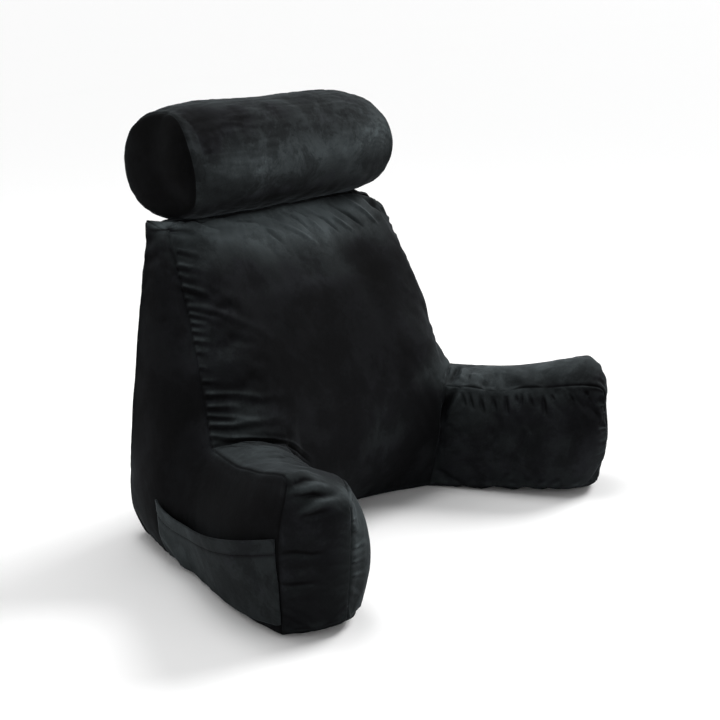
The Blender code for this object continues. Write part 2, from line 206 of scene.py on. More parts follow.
# Folds that fan out from under the roll.
FAN_FOLDS = folds(
    (50, 39, (-142, 145, 473), (-73, 131, 460), (-22, 106, 436)),
    (39, -33, (-86, 142, 471), (-64, 123, 455), (-43, 101, 427)),
    (39, 33, (-54, 140, 472), (-11, 115, 447), (31, 93, 418)),
    (33, -39, (-9, 140, 471), (12, 127, 459), (28, 106, 436)),
    (39, 39, (9, 139, 472), (41, 119, 449), (54, 104, 433)),
    (33, -42, (36, 139, 472), (74, 123, 452), (90, 101, 426)),
    (39, 42, (68, 142, 472), (97, 119, 449), (125, 103, 426)),
    (33, -39, (99, 144, 472), (133, 123, 452), (153, 104, 427)),
    (39, 39, (145, 144, 471), (173, 122, 450), (194, 104, 426)),
    (36, -20, (190, 144, 468), (224, 137, 450), (223, 114, 431)),
)
# The right arm's root.
RIGHT_ROOT_FOLDS = folds(
    (50, -84, (263, -9, 187), (224, -25, 185), (201, -30, 174)),
    (44, 49, (262, -21, 185), (218, -39, 180)),
    (50, -84, (206, -44, 170), (198, -36, 155), (195, -27, 135), (192, -23, 104)),
    (44, 42, (213, -52, 169), (204, -45, 152), (196, -39, 132)),
    (40, -36, (259, -35, 186), (222, -52, 178)),
    (37, -28, (244, -75, 184), (229, -82, 173)),
)
# Puckers along the front panel's left seam.
BACK_PUCKERS = folds(
    (55, 38, (-243, 146, 464), (-187, 133, 460), (-151, 132, 460)),
    (40, 43, (-240, 138, 448), (-215, 118, 441), (-195, 107, 431)),
    (40, 43, (-249, 130, 428), (-228, 110, 423), (-209, 98, 414)),
    (31, 26, (-251, 125, 416), (-239, 109, 411)),
    (40, 43, (-252, 118, 400), (-233, 92, 391), (-215, 78, 378)),
    (31, 26, (-254, 111, 385), (-243, 94, 381)),
    (56, 27, (-255, 105, 374), (-226, 77, 363), (-188, 53, 343), (-129, 31, 308)),
    (33, 30, (-256, 102, 363), (-242, 83, 358), (-214, 58, 343)),
    (31, 30, (-258, 96, 351), (-239, 76, 346)),
    (31, 30, (-260, 93, 340), (-240, 68, 335)),
    (33, 34, (-262, 88, 327), (-239, 59, 323)),
    (31, 26, (-264, 82, 312), (-251, 63, 310)),
    (33, 21, (-268, 74, 292), (-256, 53, 290)),
    (33, 26, (-271, 66, 273), (-249, 39, 273)),
    (44, 37, (-274, 59, 255), (-246, 33, 254), (-209, 8, 245), (-150, -1, 239)),
    (37, 43, (-278, 52, 239), (-251, 29, 238), (-231, 8, 233)),
    (33, 30, (-281, 49, 228), (-250, 13, 224), (-213, -10, 210)),
    (42, 47, (-283, 44, 215), (-263, 19, 216), (-229, -1, 217), (-182, -13, 213)),
    (40, 34, (-287, 40, 202), (-263, 12, 198), (-229, -8, 194), (-177, -20, 195)),
)
# Gathers below the right arm's inner seam.
GATHERS = folds(
    (32, -34, (209, -49, 166), (207, -55, 153), (205, -60, 142)),
    (32, -46, (214, -61, 166), (211, -66, 154), (210, -73, 137)),
    (34, -46, (222, -78, 162), (220, -82, 149), (217, -88, 131)),
    (28, -28, (231, -95, 161), (228, -101, 148), (225, -106, 137)),
    (34, -46, (242, -114, 162), (238, -119, 148), (234, -125, 132)),
    (28, -26, (249, -129, 164), (243, -136, 152)),
    (30, -34, (254, -138, 168), (247, -141, 157), (242, -141, 146)),
    (30, -34, (259, -148, 169), (254, -155, 158), (250, -162, 148)),
    (34, -46, (268, -169, 168), (261, -175, 155), (254, -183, 137)),
    (28, -26, (275, -180, 169), (271, -188, 159)),
    (30, -30, (288, -205, 173), (285, -213, 164), (283, -218, 157)),
    (28, -22, (305, -227, 175), (305, -230, 166)),
)
# Small puckers along the left arm's inner front seam.
STRIP_PUCKERS = folds(
    (22, 26, (-328, -248, 142), (-310, -247, 143)),
    (24, 30, (-326, -247, 118), (-294, -246, 119)),
    (24, 30, (-326, -245, 98), (-294, -247, 100)),
    (24, 28, (-325, -244, 79), (-291, -245, 76)),
    (20, 22, (-329, -248, 157), (-308, -241, 153)),
)
FOLDS = (TURN_FOLDS + END_CREASES + ROOT_CREASES + TOP_FOLDS + FAN_FOLDS + RIGHT_ROOT_FOLDS
         + GATHERS + twins(TURN_FOLDS, 0.15, -0.003) + twins(END_CREASES, 0.8, 0.009)
         + twins(GATHERS, 0.8, 0.0))
PUCKERS = (BACK_PUCKERS + STRIP_PUCKERS + twins(BACK_PUCKERS, 0.5, 0.004)
           + twins(STRIP_PUCKERS, 1.0, -0.006))
PUCKER_START = 0.8          # a pucker's width at its seam, and how much wider it gets to its end
PUCKER_WIDENING = 0.8
PUCKER_DIP = 0.4            # the dip below it: its depth, and how far below it lies, in widths
DIP_OFFSET = 1.9
PUCKER_ONSET = 0.004        # how long it takes to rise, and how fast it fades after that
PUCKER_FADE = 1.2

# ---- how light the nap looks, panel by panel and by place: the nap's own lie and where it was brushed, and painted light and shade ----
# Panel tones in the order of PANELS: each panel's nap, with painted light and shade by which way it
# faces: the side panels darker, the inner panels lighter.
COVER_TONES = (0.20, 0.21, 0.16, 0.18, 0.11, 0.28, 0.32)
# Soft areas of lighter and darker tone: brushed nap patches, and painted light and shade: the front
# panel's top zone and the arms' tops lighter where light falls from above, the left arm's inner
# strip lighter, and a painted shadow beside the roll.
COVER_AREAS = areas(
    ((-10, 115, 450), (320, 150, 110), 86),
    ((-200, 140, 470), (100, 60, 40), 26),
    ((-220, 170, 480), (80, 50, 20), 30),
    ((-280, -30, 210), (120, 120, 60), 37),
    ((-330, -130, 230), (120, 100, 60), 32),
    ((-360, -210, 210), (80, 50, 40), 24),
    ((-345, -236, 187), (40, 30, 18), 26),
    ((-292, -188, 195), (50, 50, 30), -15),
    ((240, -40, 200), (140, 140, 55), 55),
    ((330, -130, 220), (140, 140, 60), 60),
    ((-310, -230, 120), (50, 80, 170), 31),
    ((-360, -60, 160), (100, 160, 100), -10),
    ((130, 65, 370), (60, 80, 80), -12),
    ((-100, 20, 290), (140, 80, 100), -4),
    ((190, 30, 300), (80, 80, 120), 8),
    ((40, -20, 130), (100, 80, 120), 9),
    ((300, -230, 130), (60, 60, 60), -18),
    ((-40, 88, 410), (240, 90, 42), -36),
    ((132, 98, 419), (50, 50, 40), -14),
    ((175, 130, 460), (80, 40, 30), 34),
    ((-145, 108, 432), (70, 50, 30), -18),
    ((100, 80, 395), (60, 50, 40), -12),
    ((-240, 75, 320), (60, 60, 75), 14),
    ((-240, 60, 292), (50, 60, 35), 13),
    ((-230, 0, 192), (70, 50, 35), -18),
    ((-300, 0, 195), (50, 70, 30), 14),
    ((205, -60, 135), (40, 60, 60), 13),
    ((270, -150, 170), (70, 80, 12), 22),
    ((235, -90, 150), (90, 120, 50), 13),
    ((-262, 110, 320), (40, 100, 160), 6),
    ((-195, 125, 452), (30, 30, 20), -14),
    ((242, 145, 458), (30, 30, 30), 20),
    ((-120, 133, 462), (100, 40, 22), 15),
    ((100, 130, 460), (80, 30, 20), 16),
    ((-236, 168, 482), (35, 30, 12), 22),
    ((-222, 136, 459), (35, 30, 14), 16),
    ((-195, 158, 482), (40, 20, 12), -22),
    ((40, -15, 130), (70, 60, 100), 5),
    ((-245, 30, 250), (60, 60, 50), 8),
)
# The roll's left end, right end and barrel; the left end is darker partly by its nap, partly as
# painted shade on the side turned from the light.
ROLL_TONES = (0.09, 0.35, 0.44)
# Soft areas of lighter and darker tone on the roll: brushed nap patches, and painted shade along
# its underside where it rests on the cover.
ROLL_AREAS = areas(
    ((20, 90, 565), (280, 60, 45), 24),
    ((-150, 90, 562), (110, 60, 38), 30),
    ((-195, 118, 628), (75, 70, 45), -34),
    ((170, 95, 585), (80, 70, 55), 30),
    ((60, 95, 540), (60, 40, 30), -10),
    ((-50, 130, 488), (260, 60, 30), -32),
    ((-205, 95, 592), (30, 40, 35), -16),
    ((-120, 115, 628), (50, 50, 35), -26),
    ((-30, 115, 628), (40, 50, 30), -12),
    ((0, 110, 488), (340, 80, 45), -38),
)
POCKET_TONE = 0.42
POCKET_AREAS = areas(((-320, 80, 70), (80, 140, 90), 30))
SLOPE_SHADING = 0.45           # painted light and shade: lighter where a fold's slope turns up, darker where it turns down
SLOPE_SPREAD = 40
SLOPE_RANGE = (-0.5, 0.6)
RELIEF_SHADING = 26.0          # painted highlight on a fold's crest and painted shade in its trough, per metre
RELIEF_RANGE = (-0.011, 0.013)
# Where the folds' painted light and shade is stronger, so that they look sharper.
CRISP = areas(((-362, -216, 196), (60, 50, 45), 180))
# Painted shade along the seams and in the hem's groove.
SEAM_SHADE = -0.06
HEM_SHADE = -0.16
LINE_WIDTH = 0.003          # how far the painted shade of a seam or of the hem reaches
ROLL_SHADOW_TONE = -0.45        # painted shadow: darker where the roll lies on the cover
ROLL_SHADOW_REACH = 0.008


def level_point(column, row, level):
    """Return a lattice point of the back."""
    here = LEVELS[level]
    side_front = Vector((here.x_front, here.y_front, here.z))
    inner = Vector((here.x_inner, here.y_inner, here.z))
    if level == ARM_TOP:
        inner.z -= ROOT_INNER_DROP
        side_front.z += ROOT_OUTER_RISE
    over_arm = inner.lerp(side_front, FRONT_CROWN_SHARE if level > ARM_TOP else ROOT_SHARE)
    if ARM_TOP < level < CROWN_TOP:
        over_arm.y -= FRONT_CROWN
    if level == ARM_TOP:
        over_arm.z += ROOT_RISE
    if row == FRONT:
        middle = Vector((0.0, here.y_mid, here.z))
        quarter = Vector((here.x_inner / 2, here.y_quarter, here.z))
        return (middle, quarter, inner, over_arm, side_front)[column]
    if row == BACK:
        share = column / OUTER
        y = here.y_back_mid + (here.y_back - here.y_back_mid) * share ** BACK_ROUNDING
        return Vector((here.x_back * share, y, here.z))
    middle = (level_point(column, FRONT, level) + level_point(column, BACK, level)) / 2
    if column == OUTER:
        middle.x -= here.bulge
    elif level == CROWN_TOP:
        middle.z += TOP_RISE
    return middle


def arm_point(column, row, level):
    """Return a lattice point of the left arm, between its seams and pushed out by its filling."""
    station = STATIONS[row]
    height = LEVELS[level].z / LEVELS[ARM_TOP].z
    ends = (
        (level_point(INNER, FRONT, level), ARM_INNER_FOOT.lerp(ARM_INNER_FRONT, height)),
        (level_point(OUTER, FRONT, level), ARM_OUTER_FOOT.lerp(ARM_OUTER_FRONT, height)),
    )
    inner, outer = (root.lerp(tip, station.share) for root, tip in ends)
    across = outer - inner
    across.z = 0
    across.normalize()
    along = Vector((across.y, -across.x, 0))
    inner -= across * station.inner_bulge * BULGE_SHARE[level]
    outer += across * station.outer_bulge * BULGE_SHARE[level]
    outer.z -= station.sag * height
    if column == INNER:
        return inner
    if column == OUTER:
        return outer
    point = (inner + outer) / 2
    if level == ARM_TOP:
        point.z += station.crown
    if row == ARM_END:
        point -= along * ARM_END_CROWN
    return point


def lattice_point(column, row, level):
    return level_point(column, row, level) if row >= FRONT else arm_point(column, row, level)


def cells():
    """Yield the lattice cells that the left half fills."""
    for column in range(CENTRE, OUTER):
        for row in range(FRONT, BACK):
            for level in range(FLOOR, CROWN_TOP):
                yield column, row, level
    for column in range(INNER, OUTER):
        for row in range(ARM_END, FRONT):
            for level in range(FLOOR, ARM_TOP):
                yield column, row, level


def panel_of(cell, axis, side):
    """Name the panel that an outer cell face belongs to."""
    arm = cell[1] < FRONT
    if axis == 2:
        return "base" if side < 0 else ("strip" if arm else "top")
    if axis == 1:
        return "strip" if arm else ("front" if side < 0 else "back")
    return "side" if side > 0 else "inner"


def cover_lattice():
    """Return the left half's lattice skin, open at the middle, with its panels and seams."""
    filled = set(cells())
    bm = bmesh.new()
    panel = bm.faces.layers.int.new("panel")
    crease = bm.edges.layers.float.new("crease_edge")
    corners = {}
    for cell in sorted(filled):
        for axis in range(3):
            for side in (-1, 1):
                next_cell = tuple(cell[a] + (side if a == axis else 0) for a in range(3))
                if next_cell in filled or next_cell[0] < CENTRE:
                    continue
                start = list(cell)
                start[axis] += (side > 0)
                first, second = [a for a in range(3) if a != axis]
                ring = []
                for step_first, step_second in ((0, 0), (1, 0), (1, 1), (0, 1)):
                    corner = list(start)
                    corner[first] += step_first
                    corner[second] += step_second
                    key = tuple(corner)
                    if key not in corners:
                        corners[key] = bm.verts.new(lattice_point(*key))
                    ring.append(corners[key])
                face = bm.faces.new(ring)
                face[panel] = PANELS.index(panel_of(cell, axis, side))
    bmesh.ops.recalc_face_normals(bm, faces=bm.faces)
    for edge in bm.edges:
        if len({face[panel] for face in edge.link_faces}) > 1:
            edge[crease] = SEAM_CREASE
    mesh = bpy.data.meshes.new("cover")
    bm.to_mesh(mesh)
    bm.free()
    return mesh


# ---- mesh tools ----
MERGE_DISTANCE = 0.0001
SEED_STEP = 17.31           # the noise's numbers: how a seed moves it, and how its cells are mixed
CELL_FACTORS = (374761393, 668265263, 2147483647)
SEED_FACTOR = 144269
MIX_FACTOR = 1274126177
LONG_WORD, SHORT_WORD = 0xFFFFFFFF, 0xFFFF
NEARLY_LEVEL = 1e-6
TINY = 1e-9


def shown(mesh, name):
    thing = bpy.data.objects.new(name, mesh)
    bpy.context.scene.collection.objects.link(thing)
    return thing


def settled(thing):
    """Turn an object with modifiers into the plain mesh of the result, and remove it."""
    graph = bpy.context.evaluated_depsgraph_get()
    mesh = bpy.data.meshes.new_from_object(thing.evaluated_get(graph))
    mesh.name = thing.name
    bpy.data.objects.remove(thing)
    return mesh


def refined(mesh, levels, mirrored=False):
    """Return the mesh smoothed by some subdivision levels."""
    thing = shown(mesh, mesh.name)
    if mirrored:
        halves = thing.modifiers.new("halves", "MIRROR")
        halves.merge_threshold = MERGE_DISTANCE
    smooth = thing.modifiers.new("smooth", "SUBSURF")
    smooth.levels = smooth.render_levels = levels
    return settled(thing)


def thinned(mesh, triangles):
    """Return the mesh in fewer triangles, where it is flat."""
    thing = shown(mesh, mesh.name)
    mesh.calc_loop_triangles()
    thin = thing.modifiers.new("thin", "DECIMATE")
    thin.ratio = triangles / len(mesh.loop_triangles)
    return settled(thing)


def numbers(items, name, kind=np.int32, width=1):
    """Return a value, or a row of them, for every vertex, edge, face or corner."""
    out = np.empty(len(items) * width, kind)
    items.foreach_get(name, out)
    return out if width == 1 else out.reshape(-1, width)


def places(mesh):
    return numbers(mesh.vertices, "co", np.float32, 3).astype(float)


def directions(mesh):
    return numbers(mesh.vertex_normals, "vector", np.float32, 3).astype(float)


def place(mesh, co):
    mesh.vertices.foreach_set("co", co.astype(np.float32).ravel())
    mesh.update()


def by_corner(mesh, values):
    """Return the faces' values once for each of their corners."""
    return np.repeat(values, numbers(mesh.polygons, "loop_total"))


def panel_numbers(mesh):
    return numbers(mesh.attributes["panel"].data, "value")


def seam_vertices(mesh):
    """Return which vertices lie on a seam, where faces of two panels meet."""
    edge_of = numbers(mesh.loops, "edge_index")
    order = np.argsort(edge_of, kind="stable")
    pairs = by_corner(mesh, panel_numbers(mesh))[order].reshape(-1, 2)
    seam_edges = edge_of[order][::2][pairs[:, 0] != pairs[:, 1]]
    on_seam = np.zeros(len(mesh.vertices), bool)
    on_seam[numbers(mesh.edges, "vertices", width=2)[seam_edges].ravel()] = True
    return on_seam


def evened(mesh, value, rounds):
    """Return the vertices' values after some rounds of moving halfway to their neighbours' mean."""
    a, b = numbers(mesh.edges, "vertices", width=2).T
    count = len(value)
    met = np.bincount(a, minlength=count) + np.bincount(b, minlength=count)
    for _ in range(rounds):
        gathered = np.bincount(a, value[b], count) + np.bincount(b, value[a], count)
        value = (value + gathered / met) / 2
    return value


def distance_to(co, targets, reach):
    """Return each point's distance to the nearest target, at most reach."""
    tree = KDTree(len(targets))
    for index, target in enumerate(targets):
        tree.insert(target, index)
    tree.balance()
    return np.array([min(tree.find(point)[2], reach) for point in co])


def boxed(co, path, reach):
    """Return the numbers of the points in or near the box around a path."""
    return np.flatnonzero(((co > path.min(axis=0) - reach)
                           & (co < path.max(axis=0) + reach)).all(axis=1))


def lumps(co, height, size, seed):
    """Return smooth noise up to a height, with lumps of about the given size."""
    at = co / size + seed * SEED_STEP
    base = np.floor(at).astype(np.int64)
    part = at - base
    part = part * part * (3 - 2 * part)
    total = np.zeros(len(co))
    for steps in product((0, 1), repeat=3):
        mixed = (((base + steps) * CELL_FACTORS).sum(axis=1) + seed * SEED_FACTOR) & LONG_WORD
        mixed = ((mixed ^ (mixed >> 13)) * MIX_FACTOR) & LONG_WORD
        value = ((mixed ^ (mixed >> 16)) & SHORT_WORD) / (SHORT_WORD / 2) - 1
        share = np.ones(len(co))
        for axis, step in enumerate(steps):
            share = share * (part[:, axis] if step else 1 - part[:, axis])
        total += value * share
    return height * total


def pushed(co, some_pushes):
    for push in some_pushes:
        away = np.linalg.norm(co - push.centre, axis=1) / push.reach
        co = co + np.outer(np.clip(1 - away * away, 0, 1) ** 2, push.shift)
    return co


def area_field(co, some_areas):
    """Return the sum of some soft round areas' changes at each point."""
    field = np.zeros(len(co))
    for area in some_areas:
        away = np.linalg.norm((co - area.centre) / area.reach, axis=1)
        field += area.change * np.clip(1 - away * away, 0, 1) ** 2
    return field


def beside_path(co, out, fold):
    """Return each point's share along a fold, and its distance from it: plus above, minus below."""
    runs = np.diff(fold.path, axis=0)
    lengths = np.linalg.norm(runs, axis=1)
    share, away, side = (np.full(len(co), first) for first in (0.0, 1.0, 1.0))
    for start, run, length, before in zip(fold.path, runs, lengths, np.cumsum(lengths) - lengths):
        part = np.clip((co - start) @ run / length ** 2, 0, 1)
        off = co - start - part[:, None] * run
        depth = (off * out).sum(axis=1)
        beside = np.sqrt(np.maximum((off * off).sum(axis=1) - depth * depth, 0))
        beside += np.maximum(np.abs(depth) - FOLD_DEPTH, 0)
        across = np.cross(run, out)
        up = (off * across).sum(axis=1) * np.sign(across[:, 2] + NEARLY_LEVEL)
        closer = beside < away
        share[closer] = (before + part * length)[closer] / lengths.sum()
        away[closer], side[closer] = beside[closer], np.sign(up)[closer]
    return share, away * side


def fold_rise(co, out):
    """Return how high the folds stand; they swell and fade out again along their paths."""
    rise = np.zeros(len(co))
    for fold in FOLDS:
        near = boxed(co, fold.path, FOLD_REACH)
        share, away = beside_path(co[near], out[near], fold)
        fade = np.sin(np.pi * (FOLD_ONSET + (1 - FOLD_ONSET) * share))
        rise[near] += fold.rise * fade * np.exp(-(away / fold.width) ** 2)
    return rise * (1 - np.clip(area_field(co, CORNERS), 0, 1))


def pucker_rise(co, out):
    """Return how high the puckers stand: sharp at their seam, fading from it, with a dip below."""
    rise = np.zeros(len(co))
    for pucker in PUCKERS:
        near = boxed(co, pucker.path, FOLD_REACH)
        share, away = beside_path(co[near], out[near], pucker)
        width = pucker.width * (PUCKER_START + PUCKER_WIDENING * share)
        ridge = (np.exp(-(away / width) ** 2)
                 - PUCKER_DIP * np.exp(-(away / width + DIP_OFFSET) ** 2))
        reach = np.linalg.norm(pucker.path[0] - pucker.path[-1])
        start = np.clip(share * reach / PUCKER_ONSET, 0, 1)
        rise[near] += pucker.rise * start * (1 - share) ** PUCKER_FADE * ridge
    return rise


def tree_of(mesh):
    return BVHTree.FromPolygons([v.co for v in mesh.vertices], [p.vertices for p in mesh.polygons])


def pressed(co, resting, gap, reach):
    """Press points out of a resting piece, to a gap from its surface."""
    tree = tree_of(resting)
    for index in boxed(co, places(resting), gap):
        here = Vector(co[index])
        point, normal, _, away = tree.find_nearest(here, reach)
        if point and (away < gap or (here - point).dot(normal) < 0):
            co[index] = point + normal * gap
    return co


def lies_beside(co, resting, reach):
    """Return 1 where the cloth touches the resting thing, falling to 0 away from it."""
    tree = tree_of(resting)
    far = 3 * reach
    away = np.full(len(co), np.inf)
    for index in np.flatnonzero(co[:, 2] > places(resting)[:, 2].min() - far):
        found = tree.find_nearest(co[index], far)
        if found[0] is not None:
            away[index] = found[3]
    return np.exp(-(away / reach) ** 2)


# ---- the cloth, blown up by its filling ----
Filling = namedtuple("Filling", "pressure slack reach spread kept")
CLOTH = {"quality": 4, "mass": 0.25, "air_damping": 4, "tension_stiffness": 12,
         "compression_stiffness": 12, "shear_stiffness": 4, "bending_stiffness": 0.03,
         "use_pressure": True}
CLOTH_FRAMES = 20


def wrinkles(mesh, held, filling):
    """Blow the cloth up between its held vertices, and return the moves that its wrinkles ask for:
    the fine part whole, and of the broad swelling a share."""
    thing = shown(mesh.copy(), "blown")
    sewn = thing.vertex_groups.new(name="sewn")
    sewn.add([int(i) for i in np.flatnonzero(held)], 1.0, "REPLACE")
    cloth = thing.modifiers.new("filling", "CLOTH")
    settings = cloth.settings
    settings.vertex_group_mass = "sewn"
    for name, value in CLOTH.items():
        setattr(settings, name, value)
    settings.uniform_pressure_force = filling.pressure
    settings.shrink_min = -filling.slack
    settings.effector_weights.gravity = 0
    cloth.collision_settings.use_self_collision = False
    cloth.collision_settings.use_collision = False
    scene = bpy.context.scene
    cloth.point_cache.frame_start, cloth.point_cache.frame_end = 1, CLOTH_FRAMES
    for moment in range(1, CLOTH_FRAMES + 1):
        scene.frame_set(moment)
    blown = settled(thing)
    scene.frame_set(1)
    move = places(blown) - places(mesh)
    far = np.linalg.norm(move, axis=1)
    move = move * (np.minimum(far, filling.reach) / np.maximum(far, TINY))[:, None]
    broad = np.stack([evened(mesh, move[:, axis], filling.spread) for axis in range(3)], axis=1)
    return move - broad * (1 - filling.kept)


# ---- seams, nap and finish ----
SEAM_REACH = 0.03           # how far from a seam its distance is measured
WELT, WELT_AWAY, WELT_WIDTH = 0.0008, 0.006, 0.004
DRAWN_IN, DRAWN_WIDTH = 0.0014, 0.0016


def seam_relief(away):
    """Return how far the cloth stands out: it is drawn in on a seam, with a soft welt beside it."""
    return (WELT * np.exp(-((away - WELT_AWAY) / WELT_WIDTH) ** 2)
            - DRAWN_IN * np.exp(-(away / DRAWN_WIDTH) ** 2))


# Painted shade that fades with distance from a line, such as a seam or the hem's groove.
def line_shade(tone, away):
    return tone * np.exp(-(away / LINE_WIDTH) ** 2)


def slope_shading(mesh):
    """Return painted light and shade: how much lighter the nap looks where the cloth turns up from
    its general run, and darker where it turns down.
    """
    up = directions(mesh)[:, 2]
    return SLOPE_SHADING * np.clip(up - evened(mesh, up, SLOPE_SPREAD), *SLOPE_RANGE)


def nap_and_shading_tones(mesh, tones, soft):
    """Keep on every face corner how light the nap looks, painted light and shade included: the
    panel's tone and a change by place.
    """
    value = np.array(tones)[by_corner(mesh, panel_numbers(mesh))]
    value = value + soft[numbers(mesh.loops, "vertex_index")]
    nap_and_shading = mesh.attributes.new("nap_and_shading", "FLOAT", "CORNER")
    nap_and_shading.data.foreach_set("value", value.astype(np.float32))


def finished(thing, material):
    """Give a piece its material, and let it ride."""
    mesh = thing.data
    mesh.materials.clear()
    mesh.materials.append(material)
    mesh.polygons.foreach_set("use_smooth", [True] * len(mesh.polygons))
    mesh.update()
    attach(thing, "root")


# ---- the neck roll ----
LEFT_END, RIGHT_END, BARREL = range(3)          # its panels
ROLL_RADIUS = 0.0850
ROLL_SEAM_RADIUS = 0.0775
ROLL_HALF_LENGTH = 0.2230
ROLL_END_CROWN = 0.015
ROLL_END_ROUNDING = 3
ROLL_EASE = 0.022           # how fast the roll fills out, away from its end seams
ROLL_CENTRE = Vector((0.0, 0.173, 0.565))
ROLL_AROUND = 224
ROLL_ALONG = 150
ROLL_END_ROWS = 22
ROLL_CROWDING = 0.4         # how much closer the barrel's rings lie near its seams
ROLL_END_MARGIN = 0.004
ROLL_FILLING = Filling(3.0, 0.03, 0.02, 60, 0.1)
END_WRINKLES, BARREL_WRINKLES = 0.05, 0.25      # shares of the blown wrinkles that are kept
END_SHARE = 0.3             # how much of the barrel's lumps and tones the ends show
ROLL_LUMPS = ((0.0012, 0.035, 3), (0.0006, 0.014, 4))
SEAM_LUMPS = (0.0005, 0.009, 5)
SEAM_LUMPS_STRETCH = (0.3, 1, 1)
SEAM_LUMPS_REACH = 0.016
ROLL_SLOPE_SHARE = 0.6


def roll_profile():
    """Return the roll's rings from one end's middle to the other's: x and radius."""
    rings = []
    for step in range(1, ROLL_END_ROWS + 1):
        share = step / ROLL_END_ROWS
        bulge = ROLL_END_CROWN * math.sqrt(max(0.0, 1 - share ** ROLL_END_ROUNDING))
        rings.append((-ROLL_HALF_LENGTH - bulge, share * ROLL_SEAM_RADIUS))
    barrel = []
    for step in range(1, ROLL_ALONG):
        x = (-ROLL_HALF_LENGTH * math.cos(math.pi * (step / ROLL_ALONG)) * ROLL_CROWDING
             - ROLL_HALF_LENGTH * (1 - 2 * step / ROLL_ALONG) * (1 - ROLL_CROWDING))
        inset = ROLL_HALF_LENGTH - abs(x)
        drop = (ROLL_RADIUS - ROLL_SEAM_RADIUS) * math.exp(-inset / ROLL_EASE)
        barrel.append((x, ROLL_RADIUS - drop))
    return rings + barrel + [(-x, radius) for x, radius in reversed(rings)]


def roll_skin():
    """Return the roll's smooth skin, its three panels numbered."""
    rings = roll_profile()
    turn = np.linspace(0, 2 * math.pi, ROLL_AROUND, endpoint=False)
    points = [(-ROLL_HALF_LENGTH - ROLL_END_CROWN, 0.0, 0.0)]
    for x, radius in rings:
        points += [(x, radius * math.cos(a), radius * math.sin(a)) for a in turn]
    points.append((ROLL_HALF_LENGTH + ROLL_END_CROWN, 0.0, 0.0))
    last = len(points) - 1
    faces, kinds = [], []
    for i in range(ROLL_AROUND):
        j = (i + 1) % ROLL_AROUND
        faces.append((0, 1 + j, 1 + i))
        kinds.append(LEFT_END)
        for ring in range(len(rings) - 1):
            a, b = 1 + ring * ROLL_AROUND, 1 + (ring + 1) * ROLL_AROUND
            faces.append((a + i, a + j, b + j, b + i))
            kinds.append(LEFT_END if ring < ROLL_END_ROWS - 1 else
                         RIGHT_END if ring >= len(rings) - ROLL_END_ROWS else BARREL)
        final = 1 + (len(rings) - 1) * ROLL_AROUND
        faces.append((final + i, final + j, last))
        kinds.append(RIGHT_END)
    mesh = bpy.data.meshes.new("neck_roll")
    mesh.from_pydata([Vector(p) + ROLL_CENTRE for p in points], [], faces)
    panel = mesh.attributes.new("panel", "INT", "FACE")
    panel.data.foreach_set("value", kinds)
    mesh.update()
    return mesh


def by_roll_part(co, on_ends, on_barrel):
    """Return one value for the points on the roll's two ends and another for the rest."""
    return np.where(np.abs(co[:, 0]) > ROLL_HALF_LENGTH - ROLL_END_MARGIN, on_ends, on_barrel)


def make_roll(shift):
    """Return the roll's skin: blown up between its end seams, lumpy, and moved to its place."""
    mesh = roll_skin()
    place(mesh, pushed(places(mesh), ROLL_PUSHES))
    seam = seam_vertices(mesh)
    calm = by_roll_part(places(mesh), END_WRINKLES, BARREL_WRINKLES)
    place(mesh, places(mesh) + wrinkles(mesh, seam, ROLL_FILLING) * calm[:, None])
    co, out = places(mesh), directions(mesh)
    away = distance_to(co, co[seam], SEAM_REACH)
    full = by_roll_part(co, END_SHARE, 1.0)
    rise = seam_relief(away)
    rise += full * sum(lumps(co, *kind) for kind in ROLL_LUMPS)
    rise += lumps(co * SEAM_LUMPS_STRETCH, *SEAM_LUMPS) * np.exp(-(away / SEAM_LUMPS_REACH) ** 2)
    place(mesh, co + out * rise[:, None] + shift)
    # The roll's tone by place: brushed patches and painted shade on its underside, painted light
    # and shade on its slopes, and painted shade along its seams.
    soft = (area_field(co, ROLL_AREAS) + ROLL_SLOPE_SHARE * slope_shading(mesh)
            + line_shade(SEAM_SHADE, away))
    nap_and_shading_tones(mesh, ROLL_TONES, soft * full)
    return mesh


# ---- the filled cover ----
COVER_LEVELS = 4
COVER_TRIANGLES = 190000
COVER_FILLING = Filling(4.0, 0.03, 0.03, 160, 0.15)
COVER_LUMPS = ((0.0010, 0.045, 7), (0.0004, 0.016, 8))
HELD_BELOW = 0.002          # the base's cloth lies on the floor and stays there
WRINKLES_KEPT = 1.1         # shares of wrinkles and lumps that are left, less where it is calm
FEWEST_WRINKLES = 0.05
LUMPS_CALM_SHARE = 0.4
FEWEST_LUMPS = 0.3
SEAM_DETAIL = 0.006         # the mesh is finer this near a seam, and this near a fold
FOLD_DETAIL_WIDTHS = 3
FOLD_DETAIL_MARGIN = 0.004
ROLL_GAP = 0.0011           # between the cover's top and the roll on it
PRESS_REACH = 0.05          # how deep the roll may press


def near_details(co, seams):
    """Return which points lie close to a seam or in a fold."""
    close = distance_to(co, seams, SEAM_DETAIL * 2) < SEAM_DETAIL
    for fold in FOLDS + PUCKERS:
        reach = fold.width * FOLD_DETAIL_WIDTHS
        box = boxed(co, fold.path, reach)
        _, away = beside_path(co[box], np.zeros((len(box), 3)), fold)
        close[box] |= np.abs(away) < reach + FOLD_DETAIL_MARGIN
    return close


def finer(mesh, near):
    """Split the faces once whose corners are all marked."""
    bm = bmesh.new()
    bm.from_mesh(mesh)
    edges = {edge for face in bm.faces if all(near[v.index] for v in face.verts)
             for edge in face.edges}
    bmesh.ops.subdivide_edges(bm, edges=list(edges), cuts=1, use_grid_fill=True)
    bm.to_mesh(mesh)
    bm.free()


